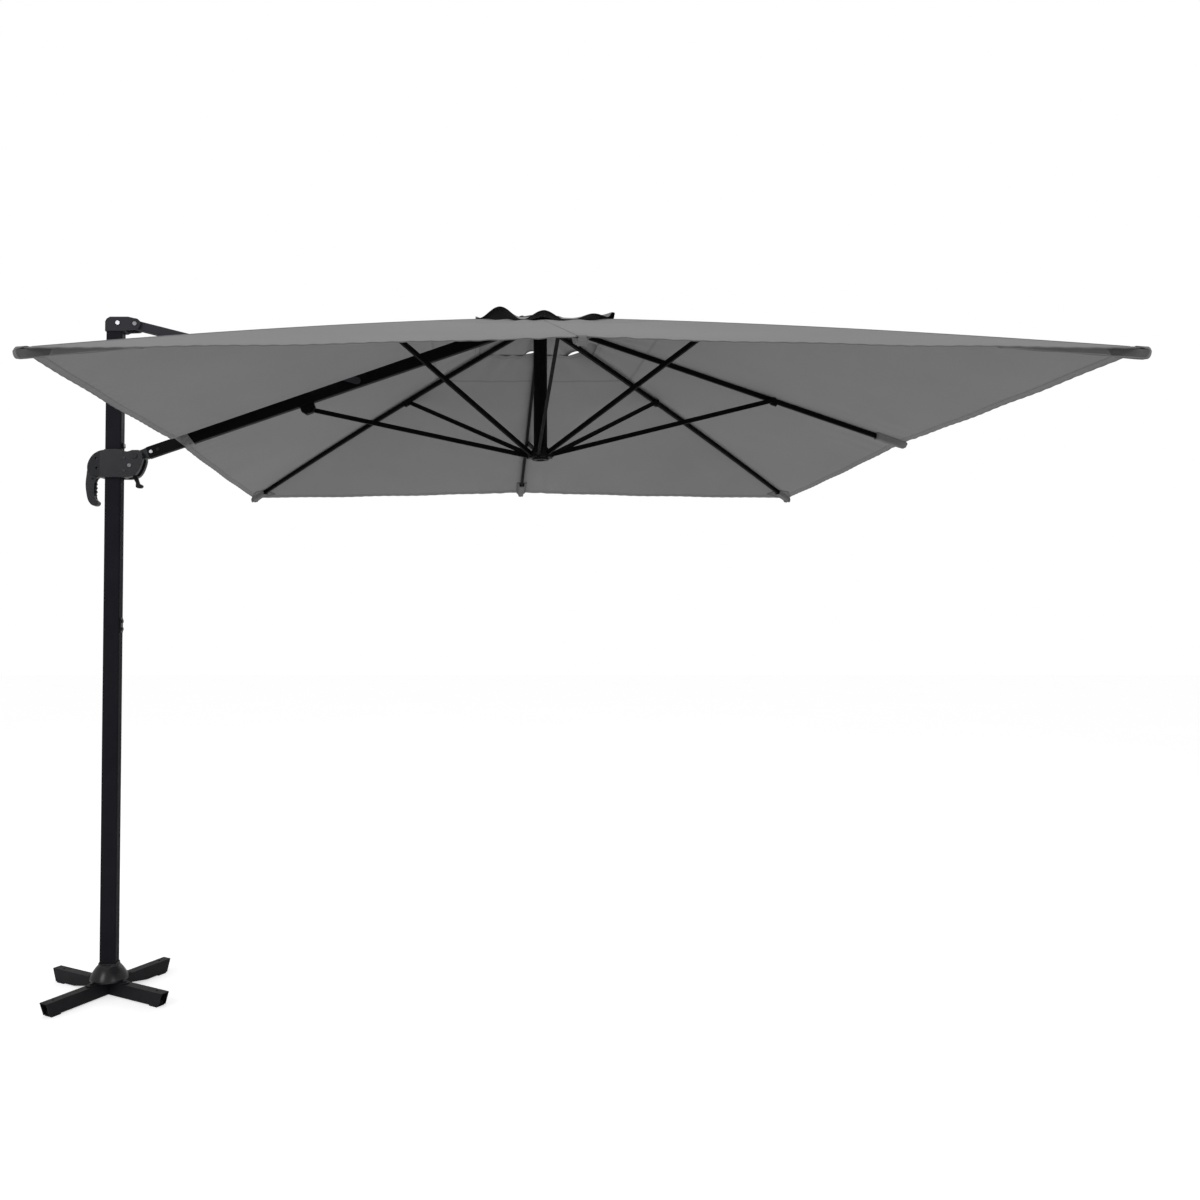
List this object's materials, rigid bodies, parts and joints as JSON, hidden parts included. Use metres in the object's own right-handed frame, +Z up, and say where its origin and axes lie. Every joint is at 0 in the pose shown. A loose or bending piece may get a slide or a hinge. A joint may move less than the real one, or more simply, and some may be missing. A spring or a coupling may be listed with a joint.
{
  "type": "cantilever parasol",
  "caption": "Square side-post parasol: cross base, swivelling mast, sliding carriage with a hooked handle, boom and strut carrying a folding ribbed canopy with a raised vent cap.",
  "frame": {"origin": "mast swivel axis on the ground plane, under the middle of the cross base", "axes": "+X from the mast towards the canopy, +Y to the right of that when seen from the mast's back, away from the usual front view, +Z up"},
  "size_m": [3.5495, 3.013, 2.766],
  "materials": {
    "base_steel": "fine-textured dark powder coat",
    "mast_metal": "anthracite powder coat",
    "boom_metal": "near-black powder coat",
    "rib_metal": "near-black powder coat",
    "carriage_plastic": "satin moulded plastic",
    "cover_plastic": "semi-gloss moulded plastic",
    "grip_plastic": "ribbed matte plastic",
    "hinge_cap": "satin moulded plastic",
    "hub_plastic": "moulded plastic",
    "glide_plastic": "light low-friction plastic",
    "bolt_steel": "plain steel",
    "foot_rubber": "matte rubber",
    "canopy_fabric": "plain-weave grey cloth",
    "cap_fabric": "plain-weave grey cloth, black underside"
  },
  "bodies": {
    "base": {"cross_beam_a": "base_steel", "cross_beam_b": "base_steel", "centre_plate": "base_steel", "base_bolts": "bolt_steel", "rubber_feet": "foot_rubber", "fixed_flange": "base_steel", "swivel_washer": "glide_plastic"},
    "mast": {"swivel_flange": "mast_metal", "mast_lower_tube": "mast_metal", "mast_upper_tube": "mast_metal", "mast_sleeve": "mast_metal", "mast_joint_plate": "cover_plastic", "base_cover": "cover_plastic", "mast_head": "mast_metal", "head_bolts": "bolt_steel", "carriage_stop": "cover_plastic"},
    "carriage": {"carriage_shell_front": "carriage_plastic", "carriage_shell_rear": "carriage_plastic", "glide_pads": "glide_plastic", "shell_screws": "bolt_steel", "boom_hinge_pin": "hinge_cap", "carriage_pins": "bolt_steel"},
    "grip": {"grip_trigger": "grip_plastic"},
    "lever": {"clamp_lever": "grip_plastic"},
    "boom": {"boom_root": "hinge_cap", "boom_tube": "boom_metal", "boom_bolts": "bolt_steel", "boom_fork": "boom_metal", "hub_pivot_pin": "bolt_steel", "strut_bracket": "boom_metal", "canopy_w": "canopy_fabric"},
    "upper_strut": {"upper_strut": "boom_metal"},
    "hub": {"top_hub": "hub_plastic", "centre_post": "rib_metal", "rib_pins": "bolt_steel", "vent_cap": "cap_fabric"},
    "lower_hub": {"lower_hub": "hub_plastic", "strut_pins": "bolt_steel"},
    "rib_e": {"rib_e": "rib_metal", "canopy_e": "canopy_fabric"},
    "rib_ne": {"rib_ne": "rib_metal", "canopy_ne": "canopy_fabric"},
    "rib_n": {"rib_n": "rib_metal", "canopy_n": "canopy_fabric"},
    "rib_nw": {"rib_nw": "rib_metal", "canopy_nw": "canopy_fabric"},
    "rib_sw": {"rib_sw": "rib_metal", "canopy_sw": "canopy_fabric"},
    "rib_s": {"rib_s": "rib_metal", "canopy_s": "canopy_fabric"},
    "rib_se": {"rib_se": "rib_metal", "canopy_se": "canopy_fabric"},
    "strut_e": {"strut_e": "rib_metal"},
    "strut_ne": {"strut_ne": "rib_metal"},
    "strut_n": {"strut_n": "rib_metal"},
    "strut_nw": {"strut_nw": "rib_metal"},
    "strut_w": {"strut_w": "rib_metal"},
    "strut_sw": {"strut_sw": "rib_metal"},
    "strut_s": {"strut_s": "rib_metal"},
    "strut_se": {"strut_se": "rib_metal"}
  },
  "joints": [
    {"name": "base_swivel", "type": "hinge", "parent": "base", "child": "mast", "pos_m": [0, 0, 0.09], "axis": [0, 0, 1], "continuous": true},
    {"name": "carriage_slide", "type": "slide", "parent": "mast", "child": "carriage", "axis": [0, 0, -1], "range_m": [0, 1.3451]},
    {"name": "grip_release", "type": "hinge", "parent": "carriage", "child": "grip", "pos_m": [-0.086, 0, 2.098], "axis": [0, 1, 0], "range_deg": [0, 6]},
    {"name": "clamp_lever_turn", "type": "hinge", "parent": "carriage", "child": "lever", "pos_m": [0.073, 0, 2.149], "axis": [0, -1, 0], "range_deg": [0, 50]},
    {"name": "boom_fold", "type": "hinge", "parent": "carriage", "child": "boom", "pos_m": [0.093, 0, 2.189], "axis": [0, -1, 0], "range_deg": [0, 64], "deforming": ["canopy_w"]},
    {"name": "upper_strut_fold", "type": "hinge", "parent": "mast", "child": "upper_strut", "pos_m": [0.086, 0, 2.7365], "axis": [0, 1, 0], "range_deg": [0, 68.17]},
    {"name": "hub_fold", "type": "hinge", "parent": "boom", "child": "hub", "pos_m": [1.682, 0, 2.737], "axis": [0, 1, 0], "range_deg": [0, 64], "deforming": ["vent_cap"]},
    {"name": "lower_hub_slide", "type": "slide", "parent": "hub", "child": "lower_hub", "axis": [0, 0, -1], "range_m": [0, 1.3391]},
    {"name": "rib_e_fold", "type": "hinge", "parent": "hub", "child": "rib_e", "pos_m": [1.824, 0, 2.735], "axis": [0, 1, 0], "range_deg": [0, 62.89], "deforming": ["canopy_e"]},
    {"name": "rib_ne_fold", "type": "hinge", "parent": "hub", "child": "rib_ne", "pos_m": [1.80496, 0.04596, 2.735], "axis": [-0.7071, 0.7071, 0], "range_deg": [0, 67.61], "deforming": ["canopy_ne"]},
    {"name": "rib_n_fold", "type": "hinge", "parent": "hub", "child": "rib_n", "pos_m": [1.759, 0.065, 2.735], "axis": [-1, 0, 0], "range_deg": [0, 62.89], "deforming": ["canopy_n"]},
    {"name": "rib_nw_fold", "type": "hinge", "parent": "hub", "child": "rib_nw", "pos_m": [1.71304, 0.04596, 2.735], "axis": [-0.7071, -0.7071, 0], "range_deg": [0, 67.61], "deforming": ["canopy_nw"]},
    {"name": "rib_sw_fold", "type": "hinge", "parent": "hub", "child": "rib_sw", "pos_m": [1.71304, -0.04596, 2.735], "axis": [0.7071, -0.7071, 0], "range_deg": [0, 67.61], "deforming": ["canopy_sw"]},
    {"name": "rib_s_fold", "type": "hinge", "parent": "hub", "child": "rib_s", "pos_m": [1.759, -0.065, 2.735], "axis": [1, 0, 0], "range_deg": [0, 62.89], "deforming": ["canopy_s"]},
    {"name": "rib_se_fold", "type": "hinge", "parent": "hub", "child": "rib_se", "pos_m": [1.80496, -0.04596, 2.735], "axis": [0.7071, 0.7071, 0], "range_deg": [0, 67.61], "deforming": ["canopy_se"]},
    {"name": "strut_e_fold", "type": "hinge", "parent": "lower_hub", "child": "strut_e", "pos_m": [1.804, 0, 2.198], "axis": [0, -1, 0], "range_deg": [0, 66.94]},
    {"name": "strut_ne_fold", "type": "hinge", "parent": "lower_hub", "child": "strut_ne", "pos_m": [1.79082, 0.03182, 2.198], "axis": [0.7071, -0.7071, 0], "range_deg": [0, 54.51]},
    {"name": "strut_n_fold", "type": "hinge", "parent": "lower_hub", "child": "strut_n", "pos_m": [1.759, 0.045, 2.198], "axis": [1, 0, 0], "range_deg": [0, 66.94]},
    {"name": "strut_nw_fold", "type": "hinge", "parent": "lower_hub", "child": "strut_nw", "pos_m": [1.72718, 0.03182, 2.198], "axis": [0.7071, 0.7071, 0], "range_deg": [0, 54.51]},
    {"name": "strut_w_fold", "type": "hinge", "parent": "lower_hub", "child": "strut_w", "pos_m": [1.714, 0, 2.198], "axis": [0, 1, 0], "range_deg": [0, 70.99]},
    {"name": "strut_sw_fold", "type": "hinge", "parent": "lower_hub", "child": "strut_sw", "pos_m": [1.72718, -0.03182, 2.198], "axis": [-0.7071, 0.7071, 0], "range_deg": [0, 54.51]},
    {"name": "strut_s_fold", "type": "hinge", "parent": "lower_hub", "child": "strut_s", "pos_m": [1.759, -0.045, 2.198], "axis": [-1, 0, 0], "range_deg": [0, 66.94]},
    {"name": "strut_se_fold", "type": "hinge", "parent": "lower_hub", "child": "strut_se", "pos_m": [1.79082, -0.03182, 2.198], "axis": [-0.7071, -0.7071, 0], "range_deg": [0, 54.51]}
  ],
  "couplings": [
    {"joint": "boom_fold", "follows": "carriage_slide", "rad_per_m": 0.83043},
    {"joint": "upper_strut_fold", "follows": "carriage_slide", "rad_per_m": 0.88447},
    {"joint": "hub_fold", "follows": "carriage_slide", "rad_per_m": 0.83043},
    {"joint": "lower_hub_slide", "follows": "carriage_slide", "ratio": 0.99554},
    {"joint": "rib_e_fold", "follows": "carriage_slide", "rad_per_m": 0.81608},
    {"joint": "rib_ne_fold", "follows": "carriage_slide", "rad_per_m": 0.87727},
    {"joint": "rib_n_fold", "follows": "carriage_slide", "rad_per_m": 0.81608},
    {"joint": "rib_nw_fold", "follows": "carriage_slide", "rad_per_m": 0.87727},
    {"joint": "rib_sw_fold", "follows": "carriage_slide", "rad_per_m": 0.87727},
    {"joint": "rib_s_fold", "follows": "carriage_slide", "rad_per_m": 0.81608},
    {"joint": "rib_se_fold", "follows": "carriage_slide", "rad_per_m": 0.87727},
    {"joint": "strut_e_fold", "follows": "carriage_slide", "rad_per_m": 0.86858},
    {"joint": "strut_ne_fold", "follows": "carriage_slide", "rad_per_m": 0.70733},
    {"joint": "strut_n_fold", "follows": "carriage_slide", "rad_per_m": 0.86858},
    {"joint": "strut_nw_fold", "follows": "carriage_slide", "rad_per_m": 0.70733},
    {"joint": "strut_w_fold", "follows": "carriage_slide", "rad_per_m": 0.92118},
    {"joint": "strut_sw_fold", "follows": "carriage_slide", "rad_per_m": 0.70733},
    {"joint": "strut_s_fold", "follows": "carriage_slide", "rad_per_m": 0.86858},
    {"joint": "strut_se_fold", "follows": "carriage_slide", "rad_per_m": 0.70733}
  ]
}
